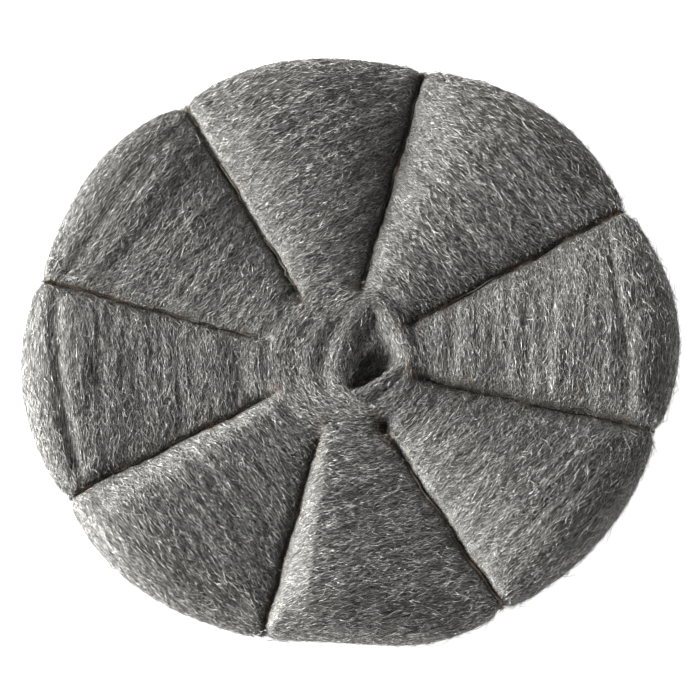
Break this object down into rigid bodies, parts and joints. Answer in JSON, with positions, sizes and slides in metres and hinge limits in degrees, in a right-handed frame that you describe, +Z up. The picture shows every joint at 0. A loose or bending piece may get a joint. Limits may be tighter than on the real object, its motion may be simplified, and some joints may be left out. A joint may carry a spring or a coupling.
{
  "type": "steel wool pad",
  "caption": "Round floor pad wound from one ribbon of steel wool, puffed into sectors by stitched radial seams, with a gathered whorl and hollow at its centre.",
  "frame": {"origin": "on the surface the pad lies on, under the middle of its box", "axes": "+Z up through the thickness, +X and +Y in the plane of the pad, with the first seam 31 degrees from +X"},
  "size_m": [0.4348, 0.4282, 0.0309],
  "materials": {
    "steel_wool": "fine matted steel fibres, grey, with bright single strands",
    "seam_thread": "dark brown twisted stitching thread, a little rusty"
  },
  "bodies": {
    "root": {"wool_pad": "steel_wool", "seam_thread_1": "seam_thread", "seam_thread_2": "seam_thread", "seam_thread_3": "seam_thread", "seam_thread_4": "seam_thread", "seam_thread_5": "seam_thread", "seam_thread_6": "seam_thread", "seam_thread_7": "seam_thread", "seam_thread_8": "seam_thread"}
  },
  "joints": []
}
